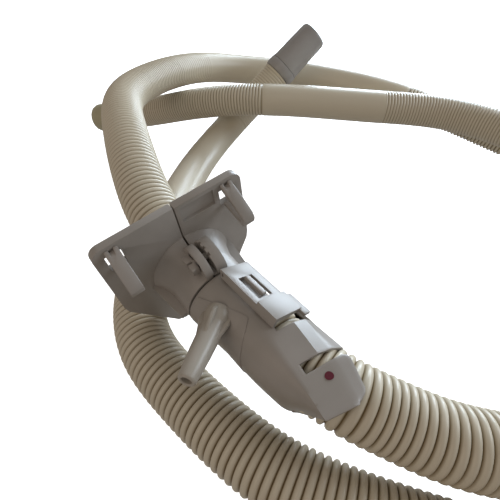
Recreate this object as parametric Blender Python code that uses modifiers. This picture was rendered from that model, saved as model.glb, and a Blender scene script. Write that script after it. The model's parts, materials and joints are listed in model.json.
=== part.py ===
"""Split-flange hose coupling with its two corrugated suction hoses.

Metres, +Z up. The coupling's long axis points along +X, sloping a little down.
The origin is the middle of the coupling's own box, without the hoses.
"""
import math

import bmesh
import bpy
import numpy as np
from mathutils import Matrix, Vector

MM = 0.001

# Where the coupling lies. Bench coordinates have the bench top at z = 0.
BOX_CENTRE = Vector((0.0483, -0.0059, 0.0566))  # middle of the coupling's box, on the bench
FITTING_AT = Vector((0.0051, -0.0025, 0.0549))  # neck axis at the front of the plate
FITTING_DIP = math.radians(8.2)                 # how far the axis slopes down
FITTING_ROLL = math.radians(12.3)               # how far it is rolled about its axis
GAP = 0.3 * MM                                  # clearance between touching pieces

# Hoses
HOSE_DIAMETER = 28 * MM
HOSE_RADIUS = HOSE_DIAMETER / 2
OUTER_HOSE_POINTS = 78
INNER_HOSE_POINTS = 42

# Split plate (the flange), in the coupling's own frame: x outward, y right, z up
PLATE_HALF_WIDTH = 34.5 * MM
PLATE_TOP = 37.5 * MM
PLATE_SHOULDER = -3 * MM       # where the lower chamfers start
PLATE_FOOT = -38.5 * MM
PLATE_FOOT_HALF_WIDTH = 13.5 * MM
PLATE_THICKNESS = 3.8 * MM
PLATE_CORNER = 4.5 * MM
NECK_SIDE = 1.8 * MM           # the neck and the slit lie this far right of the plate's middle
SPLIT_GAP = 0.35 * MM          # half of the slit between the two halves
POCKET_DEPTH = 1.4 * MM
HINGE_HEIGHT = -36.4 * MM      # axis of the pin at the foot of the plate
HINGE_PIN_RADIUS = 1.1 * MM

# Neck
NECK_BORE = 14.4 * MM
NECK_RADIUS = 15.7 * MM
NECK_LENGTH = 22.6 * MM
FLARE_RADIUS = 20 * MM
FLARE_LENGTH = 11 * MM
LUG_LEFT = (-3.4 * MM, 0.1 * MM)      # its sides, from the slit
LUG_RIGHT = (2.1 * MM, 6.8 * MM)
LUG_FOOT = 16.4 * MM           # clear of the other half's neck
PIN_HEIGHT = 19.6 * MM
PIN_PLACE = 15 * MM
PIN_RADIUS = 1.7 * MM
PRONG_WIDTH = 3.7 * MM
PRONG_GAP = 1.1 * MM

# Snap hooks
HOOK_WIDTH = 5.6 * MM
HOOK_OFFSET = 26.5 * MM

# Body: its section follows the hose as that leaves through the open right side.
# Each row is a station along the neck's axis and a sideways place, in millimetres.
BODY_START = 23.4 * MM
BODY_END = 91 * MM
BODY_WALL = 1.5 * MM
BELLY_EDGE = [(23.4, -13.7), (32, -12.6), (40, -11.5), (46, -10.6), (57, -10.1), (63.5, -9.4),
              (69.5, -8.4), (75.5, -7.2), (81, -5.6), (85, -3.8), (88, -2.5), (92, -1.6)]
CREST = [(23.4, 1.8), (40, 2), (55, 3), (92, -2.2)]
RIGHT_EDGE = [(23.4, 17.3), (42, 17.3), (45, 19), (49, 22), (60, 23.6), (72, 26.2), (92, 29)]
SKEW = [(23.4, 0), (45, 0), (56, 0.14), (76, 0.16), (92, 0.27)]
HALF_HEIGHT = [(23.4, 15.4), (46, 15.6), (52, 16.1), (60, 16.7), (92, 16.8)]
SQUARENESS = [(23.4, 0), (45, 0.1), (60, 1), (92, 1)]
SLOT_ONE = (49.6 * MM, 57.8 * MM)
SLOT_TWO = (72 * MM, 76 * MM)
SIDES = 32

# Lever cover over the body's upper right
LEVER_AT = Vector((25.6 * MM, 11.2 * MM, 16.0 * MM))   # on its roof, above the hinge
LEVER_TURN = math.radians(30)  # its roof's tilt round the axis, from +z towards +y
LEVER_YAW = math.radians(3.5)
LEVER_LENGTH = 30.5 * MM
LEVER_WIDTH = 15.2 * MM
LEVER_ROOF = 1.4 * MM
LEVER_HUMP = 1.4 * MM
LEVER_STEP = 20.5 * MM         # where the raised lower third starts

# Side spigot
SPIGOT_AT = Vector((37.6 * MM, -7.9 * MM, 11.2 * MM))
SPIGOT_OUT = Vector((0.05, -0.72, 0.69)).normalized()
SPIGOT_ALONG = Vector((0.56, -0.80, 0.22)).normalized()
SPIGOT_LENGTH = 26 * MM
SPIGOT_BORE = 2.1 * MM

# Coupling tube and its seals
TUBE_START = 17.0 * MM
TUBE_END = 49.4 * MM
TUBE_RADIUS = 10.6 * MM
TUBE_WALL = 1.8 * MM
TUBE_SWING = 5.1 * MM          # how far its outlet lies to the right

# Hose ends
CUFF_LENGTH = 41 * MM
COLLAR_LENGTH = 9 * MM
INNER_CUFF_LENGTH = 24 * MM

# The hoses' routes over the bench, in millimetres: straight out of the coupling, then round
OUTER_ROUTE = [
    (20.9, -0.7, 53), (13, -0.7, 54.2), (5.1, -0.7, 55.3), (-2.8, -0.8, 56.4),
    (-10, -0.9, 57.6), (-33, 0, 63), (-63, 6, 71), (-111, 21, 79), (-155, 39, 81),
    (-193, 69, 80), (-219, 114, 79), (-230, 159, 75), (-227, 200, 68), (-210, 236, 63),
    (-165, 274, 58), (-118, 299, 53), (-62, 326, 41), (1, 350, 25), (79, 356, 14.5),
    (169, 318, 14.5), (228, 243, 14.5), (238, 155, 14.5), (204, 74, 14.5), (136, 10, 14.5),
    (108, -8, 14.5), (87, -18, 14.5), (66, -24, 14.5), (38, -29, 14.5), (8, -31, 14.5),
    (-20, -24, 14.5), (-50, -6, 14.5), (-92, 32, 14.5), (-140, 80, 14.5), (-172, 122, 18),
    (-184, 157, 31), (-181, 184, 51), (-174, 207, 72),
]
INNER_ROUTE = [
    (56.7, 3.2, 48.7), (62.7, 3.6, 47.9), (68.7, 4.3, 47.2), (74.6, 5.5, 46.6),
    (80.6, 7.1, 46.1), (86.6, 9, 45.7), (92.6, 11.1, 44.9), (103, 17, 42), (122, 29, 38), (147, 53, 33), (176, 90, 24),
    (192, 135, 17), (190, 185, 16), (165, 232, 22), (122, 272, 33), (70, 297, 43),
    (15, 300, 51), (-35, 284, 55), (-78, 246, 57), (-125, 196, 60), (-162, 155, 60),
    (-205, 123, 51), (-250, 98, 37), (-288, 76, 27),
]


# ---------------------------------------------------------------- scene helpers

def clear_scene():
    for thing in list(bpy.data.objects):
        bpy.data.objects.remove(thing, do_unlink=True)


def make_collection(name):
    collection = bpy.data.collections.new(name)
    bpy.context.scene.collection.children.link(collection)
    return collection


clear_scene()
PARTS = make_collection("hose_coupling")
CUTTERS = make_collection("cutters")


def material(name, colour, roughness, metallic=0.0):
    made = bpy.data.materials.new(name)
    made.use_nodes = True
    shader = made.node_tree.nodes["Principled BSDF"]
    shader.inputs["Base Color"].default_value = (*colour, 1)
    shader.inputs["Roughness"].default_value = roughness
    shader.inputs["Metallic"].default_value = metallic
    return made


FITTING_PLASTIC = material("fitting_plastic", (0.38, 0.35, 0.32), 0.45)
HOSE_PLASTIC = material("hose_plastic", (0.47, 0.42, 0.32), 0.42)
SPIGOT_PLASTIC = material("spigot_plastic", (0.40, 0.36, 0.31), 0.42)
CUFF_PLASTIC = material("cuff_plastic", (0.24, 0.22, 0.21), 0.3)
END_PLASTIC = material("end_plastic", (0.36, 0.33, 0.22), 0.4)
SEAL_RUBBER = material("seal_rubber", (0.03, 0.03, 0.03), 0.7)
PIN_STEEL = material("pin_steel", (0.55, 0.55, 0.55), 0.3, 1.0)


def empty(name, parent=None, location=(0, 0, 0)):
    made = bpy.data.objects.new(name, None)
    PARTS.objects.link(made)
    made.parent = parent
    made.location = location
    return made


def place(name, bm, parent, finish, location=(0, 0, 0)):
    """Turn a bmesh into a named, smooth-shaded object under its parent."""
    bmesh.ops.recalc_face_normals(bm, faces=bm.faces)
    mesh = bpy.data.meshes.new(name)
    bm.to_mesh(mesh)
    bm.free()
    mesh.shade_smooth()
    mesh.set_sharp_from_angle(angle=math.radians(35))
    made = bpy.data.objects.new(name, mesh)
    PARTS.objects.link(made)
    made.parent = parent
    made.location = location
    if finish:
        mesh.materials.append(finish)
    return made


def cutter(name, bm, parent, location=(0, 0, 0)):
    made = place(name, bm, parent, None, location)
    PARTS.objects.unlink(made)
    CUTTERS.objects.link(made)
    made.hide_render = True
    made.display_type = "WIRE"
    return made


def combine(target, other, operation):
    step = target.modifiers.new(other.name, "BOOLEAN")
    step.operation = operation
    step.object = other


def cut(target, other):
    combine(target, other, "DIFFERENCE")


def join(target, other):
    combine(target, other, "UNION")


def soften(target, width, segments=2):
    bevel = target.modifiers.new("rounding", "BEVEL")
    bevel.width = width
    bevel.segments = segments
    bevel.limit_method = "ANGLE"
    bevel.angle_limit = math.radians(40)


# ---------------------------------------------------------------- shapes

def box(low, high):
    bm = bmesh.new()
    bmesh.ops.create_cube(bm, size=1)
    low, high = Vector(low), Vector(high)
    bmesh.ops.scale(bm, verts=bm.verts, vec=high - low)
    bmesh.ops.translate(bm, verts=bm.verts, vec=(low + high) / 2)
    return bm


def prism(outline, axis, start, end):
    """Extrude a flat outline, given in the other two axes, along x (0), y (1) or z (2)."""
    bm = bmesh.new()
    corners = []
    for a, b in outline:
        point = [a, b]
        point.insert(axis, start)
        corners.append(bm.verts.new(point))
    face = bm.faces.new(corners)
    grown = bmesh.ops.extrude_face_region(bm, geom=[face])
    moved = [item for item in grown["geom"] if isinstance(item, bmesh.types.BMVert)]
    step = Vector((0, 0, 0))
    step[axis] = end - start
    bmesh.ops.translate(bm, verts=moved, vec=step)
    return bm


def cylinder(radius, length, direction, centre, tip_radius=None, segments=SIDES):
    bm = bmesh.new()
    bmesh.ops.create_cone(bm, cap_ends=True, segments=segments, radius1=radius,
                          radius2=radius if tip_radius is None else tip_radius, depth=length)
    turn = Vector(direction).normalized().to_track_quat("Z", "Y").to_matrix()
    bmesh.ops.rotate(bm, verts=bm.verts, cent=(0, 0, 0), matrix=turn)
    bmesh.ops.translate(bm, verts=bm.verts, vec=centre)
    return bm


def loft(rings, ring_closed=False):
    """Skin equal rings of points. A closed set of rings has no caps."""
    bm = bmesh.new()
    rows = [[bm.verts.new(point) for point in ring] for ring in rings]
    count = len(rows[0])
    pairs = list(zip(rows, rows[1:]))
    if ring_closed:
        pairs.append((rows[-1], rows[0]))
    else:
        bm.faces.new(rows[0])
        bm.faces.new(rows[-1])
    for one, two in pairs:
        for i in range(count):
            j = (i + 1) % count
            bm.faces.new((one[i], one[j], two[j], two[i]))
    return bm


def turned(profile, direction, centre, segments=SIDES):
    """A full turned ring: a closed profile of (along, radius) round an axis."""
    axis = Vector(direction).normalized()
    side = axis.orthogonal().normalized()
    across = axis.cross(side)
    rings = []
    for i in range(segments):
        angle = 2 * math.pi * i / segments
        out = side * math.cos(angle) + across * math.sin(angle)
        rings.append([Vector(centre) + axis * along + out * radius for along, radius in profile])
    return loft(rings, ring_closed=True)


def half_turned(profile, side, first=-90, last=90, steps=16):
    """A turned wall round x over part of a turn: side +1 is right, -1 is left."""
    rings = []
    for i in range(steps + 1):
        angle = math.radians(first + (last - first) * i / steps)
        rings.append([Vector((x, side * r * math.cos(angle), r * math.sin(angle)))
                      for x, r in profile])
    return loft(rings)


def smooth_route(points, count):
    """Evenly spaced points on a natural cubic curve through the given ones."""
    knots = np.array(points, float)
    spans = np.linalg.norm(np.diff(knots, axis=0), axis=1)
    place_at = np.concatenate([[0], np.cumsum(spans)])
    n = len(knots)
    system = np.eye(n)
    right = np.zeros((n, 3))
    for i in range(1, n - 1):
        before, after = spans[i - 1], spans[i]
        system[i, i - 1:i + 2] = before, 2 * (before + after), after
        right[i] = 6 * ((knots[i + 1] - knots[i]) / after - (knots[i] - knots[i - 1]) / before)
    bend = np.linalg.solve(system, right)

    def at(t):
        i = min(int(np.searchsorted(place_at, t, side="right")) - 1, n - 2)
        width = spans[i]
        a = (place_at[i + 1] - t) / width
        b = 1 - a
        return (a * knots[i] + b * knots[i + 1]
                + ((a ** 3 - a) * bend[i] + (b ** 3 - b) * bend[i + 1]) * width ** 2 / 6)

    fine = np.array([at(t) for t in np.linspace(0, place_at[-1], 1200)])
    run = np.concatenate([[0], np.cumsum(np.linalg.norm(np.diff(fine, axis=0), axis=1))])
    wanted = np.linspace(0, run[-1], count)
    return [Vector([np.interp(t, run, fine[:, k]) for k in range(3)]) for t in wanted]


# ---------------------------------------------------------------- the body's geometry

def along(rows, x):
    """The value at x of rows given in millimetres (or plain numbers, for a ratio)."""
    places, values = zip(*rows)
    return float(np.interp(x / MM, places, values))


def plan_point(x, y, z):
    """Stations lean forward to the right, more so towards the outlet."""
    return Vector((x + along(SKEW, x) * (y - along(CREST, x) * MM), y, z))


def body_point(x, angle, inset=0.0):
    """A point of the body's wall: angle 0 is +y, 90 degrees is +z."""
    crest = along(CREST, x) * MM
    height = along(HALF_HEIGHT, x) * MM - inset
    across, up = math.cos(angle), math.sin(angle)
    if across > 0:
        power = 2 / (2 + 1.6 * along(SQUARENESS, x))
        y = (along(RIGHT_EDGE, x) * MM - inset - crest) * across ** power
        z = height * math.copysign(abs(up) ** power, up)
    else:
        y = (crest - along(BELLY_EDGE, x) * MM - inset) * across
        z = height * up
    return plan_point(x, crest + y, z)


def body_strip(xs, first, last, inset_out, inset_in, steps):
    """A closed strip of wall between two angles, following the body's bend."""
    angles = [math.radians(first + (last - first) * i / steps) for i in range(steps + 1)]
    rings = []
    for x in xs:
        outside = [body_point(x, a, inset_out) for a in angles]
        inside = [body_point(x, a, inset_in) for a in reversed(angles)]
        rings.append(outside + inside)
    return loft(rings)


def stations(start, end, count):
    return [start + (end - start) * i / (count - 1) for i in range(count)]


def leaning_box(xs, y_low, y_high, z_low, z_high):
    """A box cutter whose stations lean as the body's do; y is measured from the crest."""
    rings = []
    for x in xs:
        crest = along(CREST, x) * MM
        rings.append([plan_point(x, crest + y, z) for y, z in (
            (y_low, z_low), (y_high, z_low), (y_high, z_high), (y_low, z_high))])
    return loft(rings)


# ---------------------------------------------------------------- flange halves

def plate_outline(side):
    edge = side * SPLIT_GAP + NECK_SIDE
    outline = [(edge, PLATE_FOOT), (side * (PLATE_FOOT_HALF_WIDTH - 2 * MM), PLATE_FOOT),
               (side * (PLATE_FOOT_HALF_WIDTH + 2 * MM), PLATE_FOOT + 2 * MM),
               (side * (PLATE_HALF_WIDTH - MM), PLATE_SHOULDER - 3 * MM),
               (side * PLATE_HALF_WIDTH, PLATE_SHOULDER + 1.5 * MM)]
    for step in range(6):
        turn = math.pi / 2 * step / 5
        outline.append((side * (PLATE_HALF_WIDTH - PLATE_CORNER * (1 - math.cos(turn))),
                        PLATE_TOP - PLATE_CORNER * (1 - math.sin(turn))))
    outline.append((edge, PLATE_TOP))
    return outline


def neck_profile():
    return [(-1.5 * MM, NECK_BORE), (-1.5 * MM, FLARE_RADIUS), (0.5 * MM, FLARE_RADIUS),
            (3 * MM, FLARE_RADIUS - 2 * MM), (FLARE_LENGTH * 0.7, NECK_RADIUS + 0.7 * MM),
            (FLARE_LENGTH, NECK_RADIUS), (NECK_LENGTH, NECK_RADIUS), (NECK_LENGTH, NECK_BORE)]


def lug_outline(foot):
    """Arched lug beside the slit, seen from the side: x along the neck, z up."""
    return [(5 * MM, foot), (23 * MM, foot), (23 * MM, 18.2 * MM), (21.6 * MM, 20.8 * MM),
            (19 * MM, 22.9 * MM), (15.5 * MM, 24.2 * MM), (11.5 * MM, 24.2 * MM),
            (8 * MM, 22.7 * MM), (5.8 * MM, 20 * MM)]


def flange_half(name, side, parent, pivot):
    """Half of the split plate with its half of the flared neck, a lug and a gusset."""
    shift = -Vector(pivot)
    half = place(name, prism(plate_outline(side), 0, -PLATE_THICKNESS, 0), parent,
                 FITTING_PLASTIC)
    half.data.transform(Matrix.Translation(shift))
    half.location = pivot
    middle = Vector((0, NECK_SIDE, 0))
    bore = cutter(name + "_bore", cylinder(NECK_BORE, 20 * MM, (1, 0, 0), (-4 * MM, 0, 0),
                                           segments=48), parent, middle)
    cut(half, bore)
    slit = math.degrees(math.asin(SPLIT_GAP / NECK_BORE))
    neck = cutter(name + "_neck", half_turned(neck_profile(), side, -90 + slit, 90 - slit, 24),
                  parent, middle)
    join(half, neck)
    near, far = LUG_LEFT if side < 0 else LUG_RIGHT
    lug = cutter(name + "_lug", prism(lug_outline(LUG_FOOT), 1, near, far), parent, middle)
    join(half, lug)
    root_near, root_far = (near, -SPLIT_GAP) if side < 0 else (near, far)
    root = cutter(name + "_lug_root", prism(lug_outline(NECK_BORE + 0.3 * MM)[:2]
                                            + [(23 * MM, 17.4 * MM), (5 * MM, 17.4 * MM)], 1,
                                            root_near, root_far), parent, middle)
    join(half, root)
    gusset_outline = [(-1 * MM, side * 15 * MM), (21 * MM, side * 15 * MM),
                      (21.6 * MM, side * 18.6 * MM), (0, side * 21.4 * MM),
                      (-1 * MM, side * 21.4 * MM)]
    gusset = cutter(name + "_gusset", prism(gusset_outline, 2, -0.9 * MM, 0.9 * MM), parent,
                    middle)
    join(half, gusset)
    knuckle = cutter(name + "_knuckle",
                     cylinder(HINGE_PIN_RADIUS + GAP, 12 * MM, (1, 0, 0),
                              (-2 * MM, 0, HINGE_HEIGHT), segments=16), parent, middle)
    cut(half, knuckle)
    hook_hole = cutter(name + "_hook_hole",
                       box((-8 * MM, side * HOOK_OFFSET - 3.6 * MM, 24.2 * MM),
                           (4 * MM, side * HOOK_OFFSET + 3.6 * MM, 32.6 * MM)), parent)
    cut(half, hook_hole)
    return half


def make_flange(fitting, hinge):
    left = flange_half("flange_left", -1, fitting, (0, 0, 0))
    right = flange_half("flange_right", 1, fitting, (0, 0, 0))
    reach = PRONG_WIDTH + PRONG_GAP / 2 + GAP
    slot = cutter("lug_slot", box((PIN_PLACE - reach, -9 * MM, PIN_HEIGHT - 1.9 * MM),
                                  (PIN_PLACE + reach, 4 * MM, PIN_HEIGHT + 2.5 * MM)), fitting)
    cut(left, slot)
    eye = cutter("lug_eye", cylinder(PIN_RADIUS + GAP, 8 * MM, (0, 1, 0),
                                     (PIN_PLACE, 3 * MM, PIN_HEIGHT), segments=16), fitting)
    cut(right, eye)
    for index in range(4):
        notch = cutter("lug_tooth_%d" % index,
                       box((6.6 * MM + 3.4 * MM * index, 2 * MM, 21.2 * MM),
                           (8.2 * MM + 3.4 * MM * index, 4.7 * MM, 27 * MM)), fitting)
        cut(right, notch)
    pocket = cutter("pocket_cut", box((-POCKET_DEPTH, 4.2 * MM, 27.5 * MM),
                                      (5 * MM, 20.4 * MM, 35.5 * MM)), fitting)
    cut(right, pocket)
    right.parent = hinge
    right.location = -hinge.location
    return left, right


def make_pins(fitting, hinge):
    place("hinge_pin", cylinder(HINGE_PIN_RADIUS, 4.6 * MM, (1, 0, 0),
                                (-1.9 * MM, NECK_SIDE, HINGE_HEIGHT), segments=16), fitting,
          PIN_STEEL)
    shift = -hinge.location
    pin = place("clamp_snap_pin",
                cylinder(PIN_RADIUS, 8.4 * MM, (0, 1, 0), (PIN_PLACE, 2.2 * MM, PIN_HEIGHT),
                         segments=16), hinge, FITTING_PLASTIC, shift)
    reach = PRONG_WIDTH + PRONG_GAP / 2
    prongs = cutter("pin_prongs", box((PIN_PLACE - reach, -5 * MM, PIN_HEIGHT - 1.6 * MM),
                                      (PIN_PLACE + reach, -1.9 * MM, PIN_HEIGHT + 1.6 * MM)),
                    hinge, shift)
    split = cutter("pin_split", box((PIN_PLACE - PRONG_GAP / 2, -9 * MM, PIN_HEIGHT - 4 * MM),
                                    (PIN_PLACE + PRONG_GAP / 2, -2.7 * MM, PIN_HEIGHT + 4 * MM)),
                   hinge, shift)
    join(pin, prongs)
    cut(pin, split)


def hook_outline():
    """Side view of a snap hook: x forward, z up from its root on the plate."""
    return [(0.3 * MM, 36.2 * MM), (8.5 * MM, 32.2 * MM), (14.9 * MM, 28.2 * MM),
            (16.2 * MM, 25.6 * MM), (15.6 * MM, 22.9 * MM), (13.9 * MM, 21.9 * MM),
            (1.0 * MM, 25.1 * MM), (0.8 * MM, 26.6 * MM), (12.6 * MM, 23.9 * MM),
            (13.6 * MM, 25.2 * MM), (12.9 * MM, 26.9 * MM), (7.4 * MM, 30.3 * MM),
            (0.3 * MM, 34.0 * MM)]


HOOK_ROOT = Vector((0.8 * MM, 0, 35.1 * MM))


def snap_hook(name, side, parent, parent_at):
    centre = side * HOOK_OFFSET
    outline = [(x - HOOK_ROOT.x, z - HOOK_ROOT.z) for x, z in hook_outline()]
    hook = place(name, prism(outline, 1, -HOOK_WIDTH / 2, HOOK_WIDTH / 2), parent,
                 FITTING_PLASTIC, HOOK_ROOT + Vector((0, centre, 0)) - parent_at)
    groove = cutter(name + "_groove", box((-2 * MM, -1 * MM, -0.4 * MM),
                                          (7 * MM, 1 * MM, 4 * MM)), parent,
                    hook.location)
    cut(hook, groove)
    return hook


def make_grip_rings(fitting, hinge):
    """Toothed half rings that hold the hose end against the coupling tube."""
    profile = [(17.2 * MM, 12.9 * MM), (17.2 * MM, 14.1 * MM), (22.2 * MM, 14.1 * MM),
               (22.2 * MM, 12.9 * MM)]
    place("grip_ring_left", half_turned(profile, -1, -86, 86), fitting, FITTING_PLASTIC,
          (0, NECK_SIDE, 0))
    place("grip_ring_right", half_turned(profile, 1, -86, 86), hinge, FITTING_PLASTIC,
          Vector((0, NECK_SIDE, 0)) - hinge.location)


# ---------------------------------------------------------------- body

def make_body(fitting, hinge):
    xs = stations(BODY_START, BODY_END, 25)
    turns = [2 * math.pi * i / SIDES for i in range(SIDES)]
    rings = [[body_point(x, a) for a in turns] for x in xs]
    rings += [[body_point(x, a, BODY_WALL) for a in turns] for x in reversed(xs)]
    body = place("body_shell", loft(rings, ring_closed=True), fitting, FITTING_PLASTIC)
    opening = []
    for x in stations(SLOT_TWO[1] - 0.01 * MM, BODY_END + 4 * MM, 9):
        low = (along(BELLY_EDGE, x) + 1.6) * MM
        opening.append([plan_point(x, y, z) for y, z in (
            (low, -11 * MM), (low + 4 * MM, -15.6 * MM), (40 * MM, -15.6 * MM),
            (40 * MM, 15.3 * MM), (low + 4 * MM, 15.3 * MM), (low, 11 * MM))])
    far = 60 * MM
    cuts = [
        ("open_side", loft(opening)),
        ("band_room", leaning_box(stations(SLOT_ONE[1] - 0.01 * MM, SLOT_TWO[1], 6),
                                  2.6 * MM, 40 * MM, -30 * MM, 30 * MM)),
        ("upper_slot", leaning_box(stations(SLOT_ONE[0], SLOT_ONE[1], 3),
                                   2.6 * MM, 40 * MM, 4 * MM, 30 * MM)),
        ("cheek_edge", prism([(79.5 * MM, 19.6 * MM), (81.5 * MM, 19.2 * MM), (92.3 * MM, 15.4 * MM),
                              (94.6 * MM, 10 * MM), (far * 2, 10 * MM), (far * 2, far),
                              (77 * MM, far), (77 * MM, 19.9 * MM)], 2, -30 * MM, 30 * MM)),
    ]
    for name, bm in cuts:
        cut(body, cutter(name, bm, fitting))
    rest = cutter("lever_rest", box((-3 * MM, -LEVER_WIDTH / 2 - 1 * MM, -3.5 * MM),
                                    (4.2 * MM, LEVER_WIDTH / 2 + 3 * MM, 2 * MM)), hinge)
    cut(body, rest)


def make_band(fitting):
    xs = stations(SLOT_ONE[1], SLOT_TWO[0], 5)
    band = place("bridge_band", body_strip(xs, -84, 84, 0, BODY_WALL, 28), fitting,
                 FITTING_PLASTIC)
    trim = cutter("band_trim", leaning_box(stations(SLOT_ONE[1] - MM, SLOT_TWO[0] + MM, 4),
                                           -9 * MM, 2.9 * MM, -30 * MM, 30 * MM), fitting)
    cut(band, trim)


def lever_frame():
    """Place of the lever's hinge: x along the body, z out of its roof."""
    along_body = Vector((math.cos(LEVER_YAW), math.sin(LEVER_YAW), 0))
    out = Vector((0, math.sin(LEVER_TURN), math.cos(LEVER_TURN)))
    across = out.cross(along_body).normalized()
    out = along_body.cross(across)
    turn = Matrix((along_body, across, out)).transposed().to_4x4()
    return Matrix.Translation(LEVER_AT) @ turn


def make_lever(fitting):
    """Channel-section lever with a raised lower third, a window and a sprung tongue in it."""
    hinge = empty("lever_hinge", fitting)
    hinge.matrix_local = lever_frame()
    half = LEVER_WIDTH / 2
    wall = 1.5 * MM
    top = LEVER_HUMP
    lever = place("lock_lever", box((-1.4 * MM, -half, -LEVER_ROOF),
                                    (LEVER_STEP + 1.4 * MM, half, 0)), hinge, FITTING_PLASTIC)
    parts = [
        ("hump", box((LEVER_STEP, -half, top - LEVER_ROOF - 0.6 * MM),
                     (LEVER_LENGTH, half, top))),
        ("riser", box((LEVER_STEP, -half, -LEVER_ROOF / 2), (LEVER_STEP + 1.4 * MM, half, top))),
        ("side", box((0.5 * MM, -half, -3.1 * MM), (LEVER_LENGTH, -half + wall, -0.2 * MM))),
        ("finger", box((LEVER_STEP + 2 * MM, half - 1.5 * MM, -0.3 * MM),
                       (LEVER_LENGTH + 3 * MM, half + 2 * MM, top - 0.3 * MM))),
        ("barrel", cylinder(1.6 * MM, LEVER_WIDTH - 1 * MM, (0, 1, 0), (0.4 * MM, 0, -1.6 * MM),
                            segments=16)),
    ]
    for name, bm in parts:
        join(lever, cutter("lever_" + name, bm, hinge))
    cuts = [
        ("window", box((6 * MM, -4.4 * MM, -4 * MM), (18.6 * MM, 3.4 * MM, 4 * MM))),
        ("eye", cylinder(0.85 * MM, 2 * LEVER_WIDTH, (0, 1, 0), (0.4 * MM, 0, -1.7 * MM),
                         segments=12)),
    ]
    for name, bm in cuts:
        cut(lever, cutter("lever_" + name, bm, hinge))
    tongue_root = Vector((6.6 * MM, -0.5 * MM, -0.4 * MM))
    tongue = place("spring_tongue", box((0, -1.3 * MM, -0.6 * MM), (11 * MM, 1.3 * MM, 1.4 * MM)),
                   hinge, FITTING_PLASTIC, tongue_root)
    soften(tongue, 0.4 * MM)
    place("lever_pin", cylinder(0.55 * MM, LEVER_WIDTH - 2.0 * MM, (0, 1, 0),
                                (0.4 * MM, 0, -1.7 * MM), segments=12), hinge, PIN_STEEL)
    return hinge


def make_spigot(fitting):
    root, out, direction = SPIGOT_AT, SPIGOT_OUT, SPIGOT_ALONG
    xs = stations(28 * MM, 53 * MM, 8)
    saddle = place("spigot_saddle", body_strip(xs, 104, 178, -1.3 * MM, -GAP, 12), fitting,
                   FITTING_PLASTIC)
    boss_hole = cutter("saddle_hole", cylinder(7 * MM, 14 * MM, out, root, segments=24), fitting)
    cut(saddle, boss_hole)
    spigot = place("side_spigot", cylinder(6.6 * MM, 3 * MM, out, root + out * 2.1 * MM,
                                           5.2 * MM, 24), fitting, SPIGOT_PLASTIC)
    stem = cutter("spigot_stem", cylinder(4.4 * MM, SPIGOT_LENGTH - 3 * MM, direction,
                                          root + direction * (SPIGOT_LENGTH / 2 + 1.5 * MM),
                                          3.5 * MM, 24), fitting)
    join(spigot, stem)
    for index in range(2):
        fin_bm = box((-0.6 * MM, -5 * MM, 0), (0.6 * MM, 5 * MM, 8 * MM))
        bmesh.ops.rotate(fin_bm, verts=fin_bm.verts, cent=(0, 0, 0),
                         matrix=direction.to_track_quat("Z", "Y").to_matrix())
        bmesh.ops.rotate(fin_bm, verts=fin_bm.verts, cent=(0, 0, 0),
                         matrix=Matrix.Rotation(math.pi / 2 * index, 3, direction))
        fin = cutter("spigot_fin_%d" % index, fin_bm, fitting, root + direction * 3.4 * MM)
        join(spigot, fin)
    bore = cutter("spigot_bore", cylinder(SPIGOT_BORE, SPIGOT_LENGTH, direction,
                                          root + direction * (SPIGOT_LENGTH / 2 + 8 * MM),
                                          segments=16), fitting)
    cut(spigot, bore)


def tube_centre(x):
    swing = ((x - TUBE_START) / (TUBE_END - TUBE_START)) ** 2
    return Vector((x, NECK_SIDE + (TUBE_SWING - NECK_SIDE) * swing, 0))


def make_inner_tube(fitting):
    xs = stations(TUBE_START, TUBE_END, 7)
    rings = []
    for radius, order in ((TUBE_RADIUS, xs), (TUBE_RADIUS - TUBE_WALL, list(reversed(xs)))):
        for x in order:
            rings.append([tube_centre(x) + Vector((0, radius * math.cos(a), radius * math.sin(a)))
                          for a in (2 * math.pi * i / 24 for i in range(24))])
    place("coupling_tube", loft(rings, ring_closed=True), fitting, FITTING_PLASTIC)
    for name, x in (("seal_ring_neck", 19.6 * MM), ("seal_ring_outlet", 45.5 * MM)):
        section = [(0.75 * MM * math.cos(a), 11.8 * MM + 0.75 * MM * math.sin(a))
                   for a in (2 * math.pi * i / 8 for i in range(8))]
        place(name, turned(section, (1, 0, 0), tube_centre(x), 24), fitting, SEAL_RUBBER)


# ---------------------------------------------------------------- hoses and their ends

def hose(name, route, points, bench):
    curve = bpy.data.curves.new(name, "CURVE")
    curve.dimensions = "3D"
    curve.bevel_depth = HOSE_RADIUS
    curve.bevel_resolution = 3
    curve.use_fill_caps = True
    spline = curve.splines.new("POLY")
    line = smooth_route([[value * MM for value in point] for point in route], points)
    spline.points.add(len(line) - 1)
    for target, point in zip(spline.points, line):
        target.co = (*point, 1)
    curve.materials.append(HOSE_PLASTIC)
    made = bpy.data.objects.new(name, curve)
    PARTS.objects.link(made)
    made.parent = bench
    ahead = (line[-1] - line[-2]).normalized()
    return line[-1], ahead


def end_axis(name, parent, location, ahead):
    made = empty(name, parent, location)
    made.rotation_mode = "QUATERNION"
    made.rotation_quaternion = ahead.to_track_quat("X", "Z")
    return made


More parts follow.
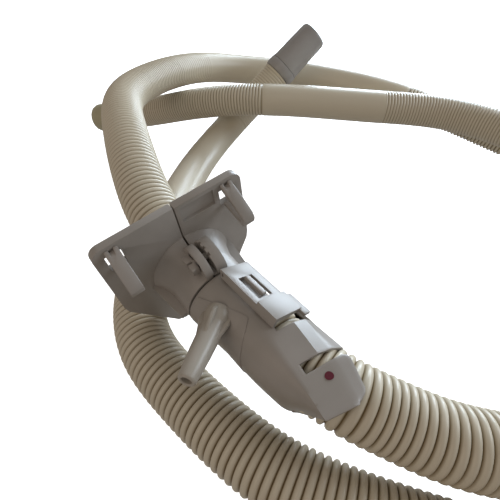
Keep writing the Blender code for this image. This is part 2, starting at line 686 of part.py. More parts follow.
def make_outer_end(bench, tip, ahead):
    collar_profile = [(0, 10.4 * MM), (0, 14.6 * MM), (2 * MM, 15.4 * MM),
                      (COLLAR_LENGTH, 15.4 * MM), (COLLAR_LENGTH, 10.4 * MM)]
    axis = end_axis("outer_end", bench, tip + ahead * GAP, ahead)
    place("cuff_collar", turned(collar_profile, (1, 0, 0), (0, 0, 0), 28), axis, CUFF_PLASTIC)
    turn = empty("cuff_turn", axis, (COLLAR_LENGTH + GAP, 0, 0))
    cuff_profile = [(0, 11 * MM), (0, 15.2 * MM), (3 * MM, 14.6 * MM),
                    (CUFF_LENGTH - 3 * MM, 13.8 * MM), (CUFF_LENGTH, 12.8 * MM),
                    (CUFF_LENGTH, 11 * MM)]
    place("hose_cuff", turned(cuff_profile, (1, 0, 0), (0, 0, 0), 28), turn, CUFF_PLASTIC)


def make_inner_end(bench, tip, ahead):
    axis = end_axis("inner_end", bench, tip + ahead * GAP, ahead)
    profile = [(0, 10.6 * MM), (0, 14.6 * MM), (INNER_CUFF_LENGTH - 3 * MM, 14.3 * MM),
               (INNER_CUFF_LENGTH, 13.2 * MM), (INNER_CUFF_LENGTH, 10.6 * MM)]
    place("inner_hose_cuff", turned(profile, (1, 0, 0), (0, 0, 0), 28), axis, END_PLASTIC)


# ---------------------------------------------------------------- assembly

def build():
    bench = empty("bench", None, -BOX_CENTRE)
    fitting = empty("fitting", bench, FITTING_AT)
    fitting.rotation_euler = (FITTING_ROLL, FITTING_DIP, 0)
    hinge = empty("flange_hinge", fitting, (0, NECK_SIDE, HINGE_HEIGHT))
    make_flange(fitting, hinge)
    make_pins(fitting, hinge)
    snap_hook("snap_hook_left", -1, fitting, Vector((0, 0, 0)))
    snap_hook("snap_hook_right", 1, hinge, hinge.location)
    make_grip_rings(fitting, hinge)
    make_body(fitting, make_lever(fitting))
    make_band(fitting)
    make_spigot(fitting)
    make_inner_tube(fitting)
    make_outer_end(bench, *hose("outer_hose", OUTER_ROUTE, OUTER_HOSE_POINTS, bench))
    make_inner_end(bench, *hose("inner_hose", INNER_ROUTE, INNER_HOSE_POINTS, bench))


build()
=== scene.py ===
"""Looks of the split flange hose coupling: shells, hooks, lever and two corrugated hoses."""
import bisect
import json
import math

import bmesh
import bpy
from mathutils import Matrix, Vector

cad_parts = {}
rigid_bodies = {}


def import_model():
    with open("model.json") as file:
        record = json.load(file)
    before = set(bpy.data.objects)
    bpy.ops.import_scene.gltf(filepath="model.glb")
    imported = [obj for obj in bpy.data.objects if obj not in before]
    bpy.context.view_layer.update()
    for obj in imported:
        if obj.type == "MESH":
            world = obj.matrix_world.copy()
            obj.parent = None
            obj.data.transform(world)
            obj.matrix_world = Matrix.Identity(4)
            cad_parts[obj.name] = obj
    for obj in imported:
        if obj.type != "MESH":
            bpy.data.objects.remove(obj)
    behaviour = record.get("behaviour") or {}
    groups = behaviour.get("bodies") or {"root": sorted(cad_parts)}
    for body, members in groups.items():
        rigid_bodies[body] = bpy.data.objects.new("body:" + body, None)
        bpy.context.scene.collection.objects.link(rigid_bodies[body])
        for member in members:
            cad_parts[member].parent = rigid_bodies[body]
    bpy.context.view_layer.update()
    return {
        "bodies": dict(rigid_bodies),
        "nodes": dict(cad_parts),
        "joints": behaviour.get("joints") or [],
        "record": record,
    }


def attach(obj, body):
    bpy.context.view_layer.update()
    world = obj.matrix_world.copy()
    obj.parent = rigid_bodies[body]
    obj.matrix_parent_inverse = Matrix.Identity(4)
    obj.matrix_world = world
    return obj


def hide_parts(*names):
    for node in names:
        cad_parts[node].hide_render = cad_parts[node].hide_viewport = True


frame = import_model()
NODES = frame["nodes"]
MM = 0.001

# The bench lies below the origin, which is the middle of the coupling's box.
BOX_CENTRE = Vector((0.0483, -0.0059, 0.0566))
BENCH = -BOX_CENTRE.z
HOSE_RADIUS = 14 * MM

# The coupling's own frame: x along the neck, y to the right of it, z up through the split
FIT = (Matrix.Translation(Vector((0.0051, -0.0025, 0.0549)) - BOX_CENTRE)
       @ Matrix.Rotation(math.radians(8.2), 4, "Y") @ Matrix.Rotation(math.radians(12.3), 4, "X"))

# The hoses' routes over the bench, in millimetres
OUTER_ROUTE = [
    (20.9, -0.7, 53), (13, -0.7, 54.2), (5.1, -0.7, 55.3), (-2.8, -0.8, 56.4),
    (-10, -0.9, 57.6), (-33, 0, 63), (-63, 6, 71), (-111, 21, 79), (-155, 39, 81),
    (-193, 69, 80), (-219, 114, 79), (-230, 159, 75), (-227, 200, 68), (-210, 236, 63),
    (-165, 274, 58), (-118, 299, 53), (-62, 326, 41), (1, 350, 25), (79, 356, 14.5),
    (169, 318, 14.5), (228, 243, 14.5), (238, 155, 14.5), (204, 74, 14.5), (136, 10, 14.5),
    (108, -8, 14.5), (87, -18, 14.5), (66, -24, 14.5), (38, -29, 14.5), (8, -31, 14.5),
    (-20, -24, 14.5), (-50, -6, 14.5), (-92, 32, 14.5), (-140, 80, 14.5), (-172, 122, 18),
    (-184, 157, 31), (-181, 184, 51), (-174, 207, 72),
]
INNER_ROUTE = [
    (56.7, 3.2, 48.7), (62.7, 3.6, 47.9), (68.7, 4.3, 47.2), (74.6, 5.5, 46.6),
    (80.6, 7.1, 46.1), (86.6, 9, 45.7), (92.6, 11.1, 44.9), (103, 17, 42),
    (122, 29, 38), (147, 53, 33), (176, 90, 24),
    (192, 135, 17), (190, 185, 16), (165, 232, 22), (122, 272, 33), (70, 297, 43),
    (15, 300, 51), (-35, 284, 55), (-78, 246, 57), (-125, 196, 60), (-162, 155, 60),
    (-205, 123, 51), (-250, 98, 37), (-288, 76, 27),
]


# ---------------------------------------------------------------- studio

def aim_camera():
    data = bpy.data.cameras.new("camera")
    data.lens = 27
    data.sensor_width = 36
    data.clip_start = 0.005
    camera = bpy.data.objects.new("camera", data)
    camera.location = Vector((0.128, -0.0615, 0.172)) - BOX_CENTRE
    camera.rotation_euler = (math.radians(51), 0, math.radians(52.2))
    bpy.context.scene.collection.objects.link(camera)
    bpy.context.scene.camera = camera


def area_light(name, place, target, size, power, colour):
    data = bpy.data.lights.new(name, "AREA")
    data.size = size
    data.energy = power
    data.color = colour
    light = bpy.data.objects.new(name, data)
    light.location = place
    light.rotation_euler = (Vector(target) - Vector(place)).to_track_quat("-Z", "Y").to_euler()
    bpy.context.scene.collection.objects.link(light)


def light_studio():
    """A cool window low behind and to the right, and a weak warm fill from the front."""
    target = (-0.02, 0.03, 0)
    area_light("window", (-0.50, 1.15, 0.36), target, 0.9, 25, (0.74, 0.87, 1.0))
    area_light("sky", (0.55, 1.0, 0.6), target, 0.6, 6, (0.80, 0.90, 1.0))
    area_light("room", (0.1, -0.9, 0.5), target, 0.8, 1.6, (1.0, 0.82, 0.68))
    world = bpy.data.worlds.new("studio")
    bpy.context.scene.world = world
    world.use_nodes = True
    sky = world.node_tree.nodes["Background"]
    sky.inputs["Color"].default_value = (1.0, 0.95, 0.89, 1)
    sky.inputs["Strength"].default_value = 0.3
    bpy.context.scene.view_settings.view_transform = "Standard"


def lay_floor():
    bm = bmesh.new()
    bmesh.ops.create_grid(bm, x_segments=1, y_segments=1, size=6)
    bmesh.ops.translate(bm, verts=bm.verts, vec=(0, 0, BENCH - 0.0005))
    mesh = bpy.data.meshes.new("floor")
    bm.to_mesh(mesh)
    bm.free()
    floor = bpy.data.objects.new("floor", mesh)
    bpy.context.scene.collection.objects.link(floor)
    pale = bpy.data.materials.new("pale_floor")
    pale.use_nodes = True
    shader = pale.node_tree.nodes["Principled BSDF"]
    shader.inputs["Base Color"].default_value = (0.9, 0.9, 0.9, 1)
    shader.inputs["Roughness"].default_value = 0.9
    shader.inputs["Emission Color"].default_value = (1, 1, 1, 1)
    shader.inputs["Emission Strength"].default_value = 1.0
    mesh.materials.append(pale)
    floor.visible_diffuse = False
    floor.visible_glossy = False


# ---------------------------------------------------------------- routes

class Route:
    """A natural cubic curve through points, measured along its length."""

    def __init__(self, points):
        self.knots = [Vector(p) * MM - BOX_CENTRE for p in points]
        self.spans = [(b - a).length for a, b in zip(self.knots, self.knots[1:])]
        self.bend = self.solve()
        self.points, self.run = [], [0.0]
        for i in range(len(self.spans)):
            self.points += [self.on_span(i, k / 40) for k in range(40)]
        self.points.append(self.knots[-1].copy())
        for a, b in zip(self.points, self.points[1:]):
            self.run.append(self.run[-1] + (b - a).length)
        self.length = self.run[-1]

    def solve(self):
        """Second derivatives at the knots, by the usual sweep down and back."""
        n = len(self.knots)
        upper, right = [0.0] * n, [Vector((0, 0, 0))] * n
        for i in range(1, n - 1):
            before, after = self.spans[i - 1], self.spans[i]
            slope = ((self.knots[i + 1] - self.knots[i]) / after
                     - (self.knots[i] - self.knots[i - 1]) / before) * 6
            middle = 2 * (before + after) - before * upper[i - 1]
            upper[i] = after / middle
            right[i] = (slope - right[i - 1] * before) / middle
        bend = [Vector((0, 0, 0))] * n
        for i in range(n - 2, 0, -1):
            bend[i] = right[i] - bend[i + 1] * upper[i]
        return bend

    def on_span(self, i, b):
        a, width = 1 - b, self.spans[i]
        return (self.knots[i] * a + self.knots[i + 1] * b
                + (self.bend[i] * (a ** 3 - a) + self.bend[i + 1] * (b ** 3 - b)) * width ** 2 / 6)

    def at(self, s):
        s = min(max(s, 0.0), self.length)
        i = min(bisect.bisect_right(self.run, s) - 1, len(self.points) - 2)
        t = (s - self.run[i]) / max(self.run[i + 1] - self.run[i], 1e-9)
        return self.points[i].lerp(self.points[i + 1], t)

    def ahead(self, s, reach=1.2 * MM):
        return (self.at(min(s + reach, self.length)) - self.at(max(s - reach, 0))).normalized()


def smooth_step(value, start, end):
    t = min(1, max(0, (value - start) / (end - start)))
    return t * t * (3 - 2 * t)


# ---------------------------------------------------------------- materials

def principled(name, roughness, coat=0.0):
    made = bpy.data.materials.new(name)
    made.use_nodes = True
    shader = made.node_tree.nodes["Principled BSDF"]
    shader.inputs["Roughness"].default_value = roughness
    shader.inputs["Coat Weight"].default_value = coat
    return made, made.node_tree.nodes, made.node_tree.links, shader


def moulded_plastic(name, dark, light, roughness, grain=0.12, mottle=60.0):
    """Moulded plastic: faint colour drift, fine grain and a slightly uneven polish."""
    made, nodes, links, shader = principled(name, roughness)
    where = nodes.new("ShaderNodeTexCoord")
    cloud = nodes.new("ShaderNodeTexNoise")
    cloud.inputs["Scale"].default_value = mottle
    cloud.inputs["Detail"].default_value = 3
    links.new(where.outputs["Object"], cloud.inputs["Vector"])
    tint = nodes.new("ShaderNodeValToRGB")
    tint.color_ramp.elements[0].position = 0.3
    tint.color_ramp.elements[0].color = (*dark, 1)
    tint.color_ramp.elements[1].position = 0.7
    tint.color_ramp.elements[1].color = (*light, 1)
    links.new(cloud.outputs["Fac"], tint.inputs["Fac"])
    links.new(tint.outputs["Color"], shader.inputs["Base Color"])
    fine = nodes.new("ShaderNodeTexNoise")
    fine.inputs["Scale"].default_value = 2600
    fine.inputs["Detail"].default_value = 2
    links.new(where.outputs["Object"], fine.inputs["Vector"])
    bump = nodes.new("ShaderNodeBump")
    bump.inputs["Strength"].default_value = grain
    bump.inputs["Distance"].default_value = 0.0001
    links.new(fine.outputs["Fac"], bump.inputs["Height"])
    links.new(bump.outputs["Normal"], shader.inputs["Normal"])
    return made


def hose_plastic(name, painted_groove_shade, unshaded_ridge):
    """Corrugated hose: its grooves carry painted shade, darkened by an attribute that is 1 on the ridges and
    low in the grooves.
    """
    made, nodes, links, shader = principled(name, 0.36)
    mark = nodes.new("ShaderNodeAttribute")
    mark.attribute_name = "unshaded_ridge"
    tint = nodes.new("ShaderNodeValToRGB")
    # The first stop is painted shade for the grooves; the second is the hose's own colour on the ridges.
    tint.color_ramp.elements[0].position = 0.05
    tint.color_ramp.elements[0].color = (*painted_groove_shade, 1)
    tint.color_ramp.elements[1].position = 0.75
    tint.color_ramp.elements[1].color = (*unshaded_ridge, 1)
    links.new(mark.outputs["Fac"], tint.inputs["Fac"])
    links.new(tint.outputs["Color"], shader.inputs["Base Color"])
    return made


FITTING = moulded_plastic("fitting_plastic", (0.305, 0.275, 0.245), (0.345, 0.31, 0.28), 0.38)
SPIGOT = moulded_plastic("spigot_plastic", (0.37, 0.33, 0.275), (0.41, 0.365, 0.31), 0.32)
CUFF = moulded_plastic("cuff_plastic", (0.30, 0.28, 0.265), (0.34, 0.32, 0.305), 0.24)
END = moulded_plastic("end_plastic", (0.40, 0.35, 0.22), (0.45, 0.40, 0.26), 0.34)
RUBBER = moulded_plastic("seal_rubber", (0.02, 0.02, 0.02), (0.03, 0.03, 0.03), 0.7)
INK = moulded_plastic("red_ink", (0.10, 0.001, 0.012), (0.14, 0.002, 0.02), 0.55)
STEEL, _, _, steel_shader = principled("pin_steel", 0.3)
steel_shader.inputs["Metallic"].default_value = 1.0
# Hose colours: a dark painted shade for the grooves and the plain colour for the ridges.
HOSE_WITH_PAINTED_SHADE = hose_plastic("hose_plastic", (0.22, 0.155, 0.07), (0.60, 0.53, 0.41))


# ---------------------------------------------------------------- building helpers

def finish_piece(name, bm, finish, body, sharp=35, replaces=()):
    mesh = bpy.data.meshes.new(name)
    bm.to_mesh(mesh)
    bm.free()
    mesh.shade_smooth()
    mesh.set_sharp_from_angle(angle=math.radians(sharp))
    mesh.materials.append(finish)
    piece = bpy.data.objects.new(name, mesh)
    bpy.context.scene.collection.objects.link(piece)
    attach(piece, body)
    if replaces:
        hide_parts(*replaces)
    return piece


# ---------------------------------------------------------------- corrugated hoses

RIB_PITCH = 3.4 * MM
FINE_PITCH = 2.6 * MM
HOSE_SIDES = 36


def rib_rings(length, stretches):
    """Stations along a hose: (place, radius, shade mark) from its ribbed and smooth stretches; the mark is 1
    on the ridges and low in the grooves, where it paints shade.

    A stretch is (start, end, pitch, depth at start, depth at end, rings a rib)."""
    rings = []
    for start, end, pitch, deep_from, deep_to, count in stretches:
        ribs = max(1, round((end - start) / pitch))
        for rib in range(ribs):
            for k in range(count):
                t = (rib + k / count) / ribs
                depth = deep_from + (deep_to - deep_from) * t
                wave = abs(math.sin(math.pi * k / count)) ** 0.55
                place = start + (end - start) * t
                # The third value falls in deep grooves, where it paints shade into the hose's colour.
                rings.append((place, HOSE_RADIUS - depth * (1 - wave),
                              1 - (1 - wave) * min(1, depth / (0.9 * MM))))
    rings.append((length, HOSE_RADIUS - 0.2 * MM, 1.0))
    return rings


def corrugated_tube(name, route, rings):
    """A grid whose rows are wrapped round the route, row by row, and welded along its seam."""
    bm = bmesh.new()
    bmesh.ops.create_grid(bm, x_segments=HOSE_SIDES, y_segments=len(rings) - 1, size=1)
    bm.verts.ensure_lookup_table()
    # This layer feeds the hose's painted groove shade.
    mark = bm.verts.layers.float.new("unshaded_ridge")
    side = None
    row = HOSE_SIDES + 1
    for i, (s, radius, unshaded_ridge) in enumerate(rings):
        centre, ahead = route.at(s), route.ahead(s)
        if side is None:
            side = ahead.orthogonal().normalized()
        side = (side - ahead * side.dot(ahead)).normalized()
        across = ahead.cross(side)
        for j in range(row):
            angle = 2 * math.pi * (j % HOSE_SIDES) / HOSE_SIDES
            vert = bm.verts[i * row + j]
            vert.co = centre + (side * math.cos(angle) + across * math.sin(angle)) * radius
            vert[mark] = unshaded_ridge
    bmesh.ops.remove_doubles(bm, verts=bm.verts, dist=1e-6)
    rims = [e for e in bm.edges if e.is_boundary]
    bmesh.ops.edgeloop_fill(bm, edges=rims)
    bmesh.ops.recalc_face_normals(bm, faces=bm.faces)
    return bm


def lay_hose(name, points, stretches_of, node, exit_at):
    route = Route(points)
    rings = rib_rings(route.length, stretches_of(route.length))
    hose = finish_piece(name, corrugated_tube(name, route, rings), HOSE_WITH_PAINTED_SHADE, "coupling",
                        sharp=80, replaces=(node,))
    path = [route.at(route.length * k / 160) for k in range(161)]
    tuple(route.at(exit_at))
    return route


def outer_stretches(length):
    """Coarse ribs from the flange round the arc, fine ribs fading out, and the far side's end."""
    mm = MM
    return [
        (0, 230 * mm, RIB_PITCH, 1.7 * mm, 1.7 * mm, 6),
        (230 * mm, 330 * mm, FINE_PITCH, 1.0 * mm, 0.25 * mm, 5),
        (330 * mm, 560 * mm, 5 * mm, 0.12 * mm, 0.05 * mm, 2),
        (560 * mm, 1010 * mm, RIB_PITCH, 1.5 * mm, 1.5 * mm, 4),
        (1010 * mm, 1370 * mm, RIB_PITCH, 1.7 * mm, 1.7 * mm, 6),
        (1370 * mm, 1470 * mm, FINE_PITCH, 0.8 * mm, 0.15 * mm, 5),
        (1470 * mm, length - 60 * mm, 5 * mm, 0.05 * mm, 0.05 * mm, 2),
        (length - 60 * mm, length, FINE_PITCH, 0.35 * mm, 0.6 * mm, 5),
    ]


def inner_stretches(length):
    mm = MM
    return [
        (0, 150 * mm, RIB_PITCH, 1.7 * mm, 1.7 * mm, 6),
        (150 * mm, 480 * mm, RIB_PITCH, 1.5 * mm, 1.5 * mm, 4),
        (480 * mm, 590 * mm, FINE_PITCH, 0.7 * mm, 0.7 * mm, 5),
        (590 * mm, 700 * mm, 5 * mm, 0.08 * mm, 0.08 * mm, 2),
        (700 * mm, length, FINE_PITCH, 0.8 * mm, 0.9 * mm, 5),
    ]


# ---------------------------------------------------------------- body

# Rows of the body's section along the neck's axis, all in millimetres
BELLY_EDGE = [(23.4, -13.7), (32, -12.6), (40, -11.5), (46, -10.6), (57, -10.1), (63.5, -9.4),
              (69.5, -8.4), (75.5, -7.2), (81, -5.6), (85, -3.8), (88, -2.5), (92, -1.6)]
CREST = [(23.4, 1.8), (40, 2), (55, 3), (92, -2.2)]
CREASE = [(23.4, 9), (50, 12), (59, 12.7), (72, 11.2), (76, 14), (92, 9.6)]
SHOULDER = [(23.4, 13), (50, 17.4), (57, 18), (72, 17.2), (75.9, 17.4), (76.3, 18.5), (77, 19),
            (78.2, 19.1), (88, 15.2), (89.2, 13.9), (91, 10.2)]
SHOULDER_HEIGHT = [(23.4, 11), (50, 13), (72, 13.6), (76, 15.6), (92, 15.8)]
RIGHT_EDGE = [(23.4, 17.3), (42, 17.3), (45, 19), (49, 22), (60, 22.8), (72, 24.6), (92, 28)]
SKEW = [(23.4, 0), (45, 0), (56, 0.14), (76, 0.16), (92, 0.27)]
HALF_HEIGHT = [(23.4, 15.4), (46, 15.6), (52, 16.1), (60, 16.7), (92, 16.8)]
SQUARENESS = [(23.4, 0), (46, 0.15), (56, 1), (92, 1)]
SLOT_INSET = 3.0               # how far right of the crest both slots end


def along(rows, x):
    """The value at x of rows of (place, value)."""
    if x <= rows[0][0]:
        return rows[0][1]
    for (a, low), (b, high) in zip(rows, rows[1:]):
        if x <= b:
            return low + (high - low) * (x - a) / (b - a)
    return rows[-1][1]


def body_section(x, u):
    """A point of the body's wall: u 0 is the belly, 1 the crest, 1.15 the slots' ends, 1.5 the
    crease, 1.75 the shoulder and 2 the right edge. The lower half has u below 0."""
    flip = -1 if u < 0 else 1
    u = abs(u)
    crest, height = along(CREST, x), along(HALF_HEIGHT, x)
    if u <= 1:
        top = math.radians(84)
        y = crest - (crest - along(BELLY_EDGE, x)) * (math.cos(top * u) - math.cos(top)) / (1 - math.cos(top))
        z = height * math.sin(top * u) / math.sin(top)
    else:
        v = u - 1
        right = along(RIGHT_EDGE, x)
        turn = math.pi / 2 * (1 - v)
        round_y, round_z = crest + (right - crest) * math.cos(turn), height * math.sin(turn)
        crease, shoulder = along(CREASE, x), along(SHOULDER, x)
        low = along(SHOULDER_HEIGHT, x)
        path = [(0, crest, height), (0.15, crest + SLOT_INSET, height), (0.5, crease, height - 0.15),
                (0.75, shoulder, low), (0.9, shoulder + (right - shoulder) * 0.75, low * 0.55),
                (1, right, 0)]
        flat_y = along([(a, b) for a, b, _ in path], v)
        flat_z = along([(a, c) for a, _, c in path], v)
        square = along(SQUARENESS, x)
        y, z = round_y + (flat_y - round_y) * square, round_z + (flat_z - round_z) * square
    lean = smooth_step(x, 74, 93) * 0.42 * (height - flip * z)
    return Vector((x + along(SKEW, x) * (y - crest) - lean, y, flip * z)) * MM


def body_stations():
    """Stations along the body, with rows exactly on the slots' edges."""
    edges = [23.4, 50, 57.8, 72, 76, 91]
    rows = []
    for start, end in zip(edges, edges[1:]):
        count = max(2, round((end - start) / 0.85))
        rows += [start + (end - start) * k / count for k in range(count)]
    return rows + [edges[-1]]


def body_turns():
    """Places round the section, from the lower right edge over the belly to the upper one."""
    half = [k / 16 for k in range(16)] + [1, 1.05, 1.1, 1.15, 1.25, 1.33, 1.42, 1.5, 1.56, 1.625,
                                          1.69, 1.75, 1.8, 1.85, 1.9, 1.95, 2]
    return [-u for u in reversed(half[1:])] + half


def is_open(x, u):
    """True inside the slots and beyond the open side."""
    if 50 < x < 57.8:
        return 1.15 < u < 1.9
    if 72 < x < 76:
        return abs(u) > 1.15
    return x > 76 and abs(u) > 1.75


def make_body():
    """One sheet wrapped round the body's section, opened at its slots, then given its wall."""
    rows, turns = body_stations(), body_turns()
    bm = bmesh.new()
    bmesh.ops.create_grid(bm, x_segments=len(turns) - 1, y_segments=len(rows) - 1, size=1)
    bm.verts.ensure_lookup_table()
    bm.faces.ensure_lookup_table()
    places = {}
    for i, x in enumerate(rows):
        for j, u in enumerate(turns):
            vert = bm.verts[i * len(turns) + j]
            vert.co = body_section(x, u)
            places[vert] = (x, u)
    gone = []
    for face in bm.faces:
        spots = [places[v] for v in face.verts]
        if is_open(sum(x for x, _ in spots) / 4, sum(u for _, u in spots) / 4):
            gone.append(face)
    bmesh.ops.delete(bm, geom=gone, context="FACES")
    bmesh.ops.remove_doubles(bm, verts=bm.verts, dist=1e-6)
    bmesh.ops.recalc_face_normals(bm, faces=bm.faces)
    bmesh.ops.transform(bm, matrix=FIT, verts=bm.verts)
    body = finish_piece("elbow_body", bm, FITTING, "coupling", sharp=24,
                        replaces=("body_shell", "bridge_band"))
    wall = body.modifiers.new("wall", "SOLIDIFY")
    wall.thickness = 1.4 * MM
    wall.offset = -1
    rims = body.modifiers.new("rims", "BEVEL")
    rims.width = 0.3 * MM
    rims.segments = 2
    rims.limit_method = "ANGLE"
    rims.angle_limit = math.radians(50)
    return body


INK_PLACE = (81.6, 8.7, 16.83)
INK_RADIUS = 1.6


def ink_dot():
    """A small round ink mark on the end cheek."""
    bm = bmesh.new()
    bmesh.ops.create_circle(bm, cap_ends=True, radius=1, segments=28)
    for vert in bm.verts:
        angle = math.atan2(vert.co.y, vert.co.x)
        reach = INK_RADIUS + 0.07 * math.sin(2 * angle + 0.6) + 0.04 * math.sin(3 * angle)
        spread = Vector((reach * 0.9 * math.cos(angle), reach * math.sin(angle), 0))
        vert.co = (Vector(INK_PLACE) + spread) * MM
    grown = bmesh.ops.extrude_face_region(bm, geom=list(bm.faces))
    bmesh.ops.translate(bm, verts=[v for v in grown["geom"] if isinstance(v, bmesh.types.BMVert)],
                        vec=(0, 0, 0.05 * MM))
    bmesh.ops.recalc_face_normals(bm, faces=bm.faces)
    bmesh.ops.transform(bm, matrix=FIT, verts=bm.verts)
    finish_piece("ink_mark", bm, INK, "coupling")


SADDLE_EDGE = [(24, 0.56), (28, 0.63), (37, 0.80), (44, 0.92), (46.4, 0.945), (47.4, 0.92),
               (50, 0.76), (54.5, 0.42), (57.4, 0.02)]


def off_body(x, u, height):
    """A point that stands off the body's wall, in millimetres."""
    here, ahead = body_section(x, u), body_section(x, u + 0.01) - body_section(x, u - 0.01)
    out = Vector((0, -ahead.z, ahead.y)).normalized()
    return here + out * height * MM


def make_saddle():
    """The spigot's thin seat: a slightly raised sheet that follows the belly."""
    bm = bmesh.new()
    rows, columns = 56, 28
    bmesh.ops.create_grid(bm, x_segments=columns, y_segments=rows, size=1)
    bm.verts.ensure_lookup_table()
    for i in range(rows + 1):
        x = 24.2 + (57.2 - 24.2) * i / rows
        top, low = along(SADDLE_EDGE, x), -0.42
        for j in range(columns + 1):
            u = low + (top - low) * j / columns
            bm.verts[i * (columns + 1) + j].co = off_body(x, u, 0.32)
    bmesh.ops.transform(bm, matrix=FIT, verts=bm.verts)
    bmesh.ops.recalc_face_normals(bm, faces=bm.faces)
    middle = bm.faces[rows // 2 * columns + columns // 2]
    outward = middle.calc_center_median() - FIT @ Vector((0.04, 0.002, 0))
    if middle.normal.dot(outward) < 0:
        bmesh.ops.reverse_faces(bm, faces=bm.faces)
    seat = finish_piece("spigot_seat", bm, FITTING, "coupling", sharp=30,
                        replaces=("spigot_saddle",))
    wall = seat.modifiers.new("wall", "SOLIDIFY")
    wall.thickness = 0.8 * MM
    wall.offset = -1
    rims = seat.modifiers.new("rims", "BEVEL")
    rims.width = 0.12 * MM
    rims.segments = 2
    rims.limit_method = "ANGLE"
    rims.angle_limit = math.radians(50)


def turned(bm, profile, matrix, steps=40):
    """Spin a profile of (along, radius) round its own axis, then put it in place."""
    verts = [bm.verts.new((x * MM, r * MM, 0)) for x, r in profile]
    edges = [bm.edges.new(pair) for pair in zip(verts, verts[1:])]
    made = bmesh.ops.spin(bm, geom=verts + edges, cent=(0, 0, 0), axis=(1, 0, 0), dvec=(0, 0, 0),
                          angle=2 * math.pi, steps=steps, use_merge=True, use_duplicate=False)
    grown = set(verts) | {g for g in made["geom_last"] if isinstance(g, bmesh.types.BMVert)}
    seen = list(grown)
    while seen:
        for edge in seen.pop().link_edges:
            for vert in edge.verts:
                if vert not in grown:
                    grown.add(vert)
                    seen.append(vert)
    bmesh.ops.remove_doubles(bm, verts=list(grown), dist=1e-6)
    alive = [v for v in grown if v.is_valid]
    bmesh.ops.transform(bm, matrix=matrix, verts=alive)
    return alive


def pointing(place, direction, up=(0, 0, 1)):
    """A frame at place, its x axis along direction and its z axis near up."""
    x = Vector(direction).normalized()
    y = Vector(up).cross(x).normalized()
    turn = Matrix((x, y, x.cross(y))).transposed().to_4x4()
    return Matrix.Translation(Vector(place) * MM) @ turn


def flat_prism(bm, outline, low, high, matrix):
    """Extrude an outline of (x, z) along y from low to high, then put it in place."""
    verts = [bm.verts.new((x * MM, low * MM, z * MM)) for x, z in outline]
    face = bm.faces.new(verts)
    grown = bmesh.ops.extrude_face_region(bm, geom=[face])["geom"]
    moved = [g for g in grown if isinstance(g, bmesh.types.BMVert)]
    bmesh.ops.translate(bm, verts=moved, vec=(0, (high - low) * MM, 0))
    bmesh.ops.transform(bm, matrix=matrix, verts=verts + moved)
    return verts + moved


def soft_edges(bm, width, angle=32, segments=2):
    edges = [e for e in bm.edges if len(e.link_faces) == 2
             and e.calc_face_angle(0) > math.radians(angle)]
    bmesh.ops.bevel(bm, geom=edges, offset=width, segments=segments, profile=0.5,
                    affect="EDGES", material=-1, clamp_overlap=True)


SPIGOT_AT = (37.6, -7.9, 11.2)
SPIGOT_ALONG = (0.56, -0.80, 0.22)


def make_spigot():
    """Domed root, tapered stem with a bore, and three fins between them."""
    frame = pointing(SPIGOT_AT, SPIGOT_ALONG, up=(0.05, -0.2, 0.97))
    fins = bmesh.new()
    wing = [(-3, 0), (-3, 5.4), (-0.6, 6.5), (2.2, 6.5), (9.6, 4.5), (9.6, 0)]
    for turn in (0, math.radians(78), math.radians(-78)):
        place = frame @ Matrix.Rotation(turn, 4, "X")
        flat_prism(fins, wing, -0.75, 0.75, place)
    soft_edges(fins, 0.3 * MM)
    bmesh.ops.recalc_face_normals(fins, faces=fins.faces)
    stem = [(-4, 0), (-4, 5.6), (-1.6, 5.75), (0.4, 5.4), (1.9, 4.75), (2.8, 4.5), (9, 4.55),
            (16, 4.3), (23, 3.8), (26.6, 3.45), (27.2, 3.3), (27.5, 3.0), (27.5, 2.3), (27.2, 2.0),
            (26, 1.9), (10, 1.9), (10, 0)]
    turned(fins, stem, frame)
    bmesh.ops.recalc_face_normals(fins, faces=fins.faces)
    bmesh.ops.transform(fins, matrix=FIT, verts=fins.verts)
    finish_piece("drain_spigot", fins, SPIGOT, "coupling", sharp=40,
                 replaces=("side_spigot",))


# ---------------------------------------------------------------- rounded pieces

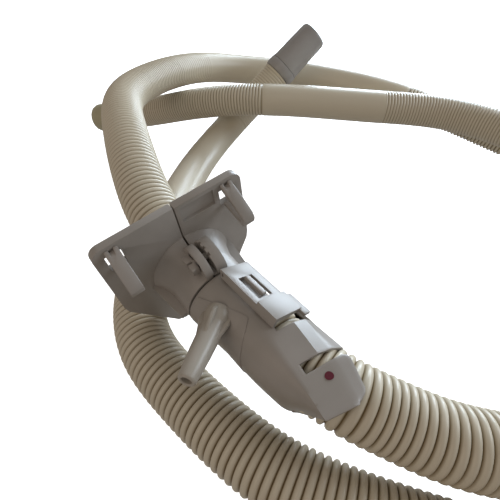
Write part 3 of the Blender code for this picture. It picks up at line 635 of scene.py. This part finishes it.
def rounded(name, node, finish, body, width, sharp=40):
    """A carried-over solid with its flat faces merged and its edges rounded."""
    bm = bmesh.new()
    bm.from_mesh(NODES[node].data)
    bmesh.ops.remove_doubles(bm, verts=bm.verts, dist=2e-6)
    bmesh.ops.dissolve_limit(bm, angle_limit=math.radians(0.8), verts=bm.verts, edges=bm.edges)
    soft_edges(bm, width)
    return finish_piece(name, bm, finish, body, sharp=sharp, replaces=(node,))


def round_pieces():
    fine = 0.28 * MM
    made = {}
    rounded("left_flange", "flange_left", FITTING, "coupling", fine)
    rounded("right_flange", "flange_right", FITTING, "right_half", fine)
    rounded("left_snap_hook", "snap_hook_left", FITTING, "left_hook", 0.35 * MM)
    rounded("right_snap_hook", "snap_hook_right", FITTING, "right_hook", 0.35 * MM)
    rounded("split_pin", "clamp_snap_pin", FITTING, "right_half", 0.35 * MM)
    rounded("lever_cover", "lock_lever", FITTING, "lever", 0.3 * MM)
    rounded("lever_tongue", "spring_tongue", FITTING, "tongue", 0.12 * MM)
    made["smooth_cuff"] = rounded("smooth_cuff", "hose_cuff", CUFF, "cuff", 0.5 * MM)
    made["cuff_ring"] = rounded("cuff_ring", "cuff_collar", CUFF, "coupling", 0.4 * MM)
    made["end_cuff"] = rounded("end_cuff", "inner_hose_cuff", END, "coupling",
                               0.5 * MM)
    return made


# ---------------------------------------------------------------- carried-over pieces

def dress(names, finish):
    for name in names:
        node = NODES[name]
        node.data.materials.clear()
        node.data.materials.append(finish)
        node.data.shade_smooth()
        node.data.set_sharp_from_angle(angle=math.radians(30))


def dress_nodes():
    dress(["grip_ring_left", "grip_ring_right", "coupling_tube"], FITTING)
    dress(["seal_ring_neck", "seal_ring_outlet"], RUBBER)
    dress(["hinge_pin", "lever_pin"], STEEL)


aim_camera()
CUFFS = round_pieces()
lay_hose("ribbed_outer_hose", OUTER_ROUTE, outer_stretches, "outer_hose",
         22 * MM)
lay_hose("ribbed_inner_hose", INNER_ROUTE, inner_stretches, "inner_hose",
         28 * MM)
make_body()
make_saddle()
make_spigot()
ink_dot()
lay_floor()
light_studio()
dress_nodes()
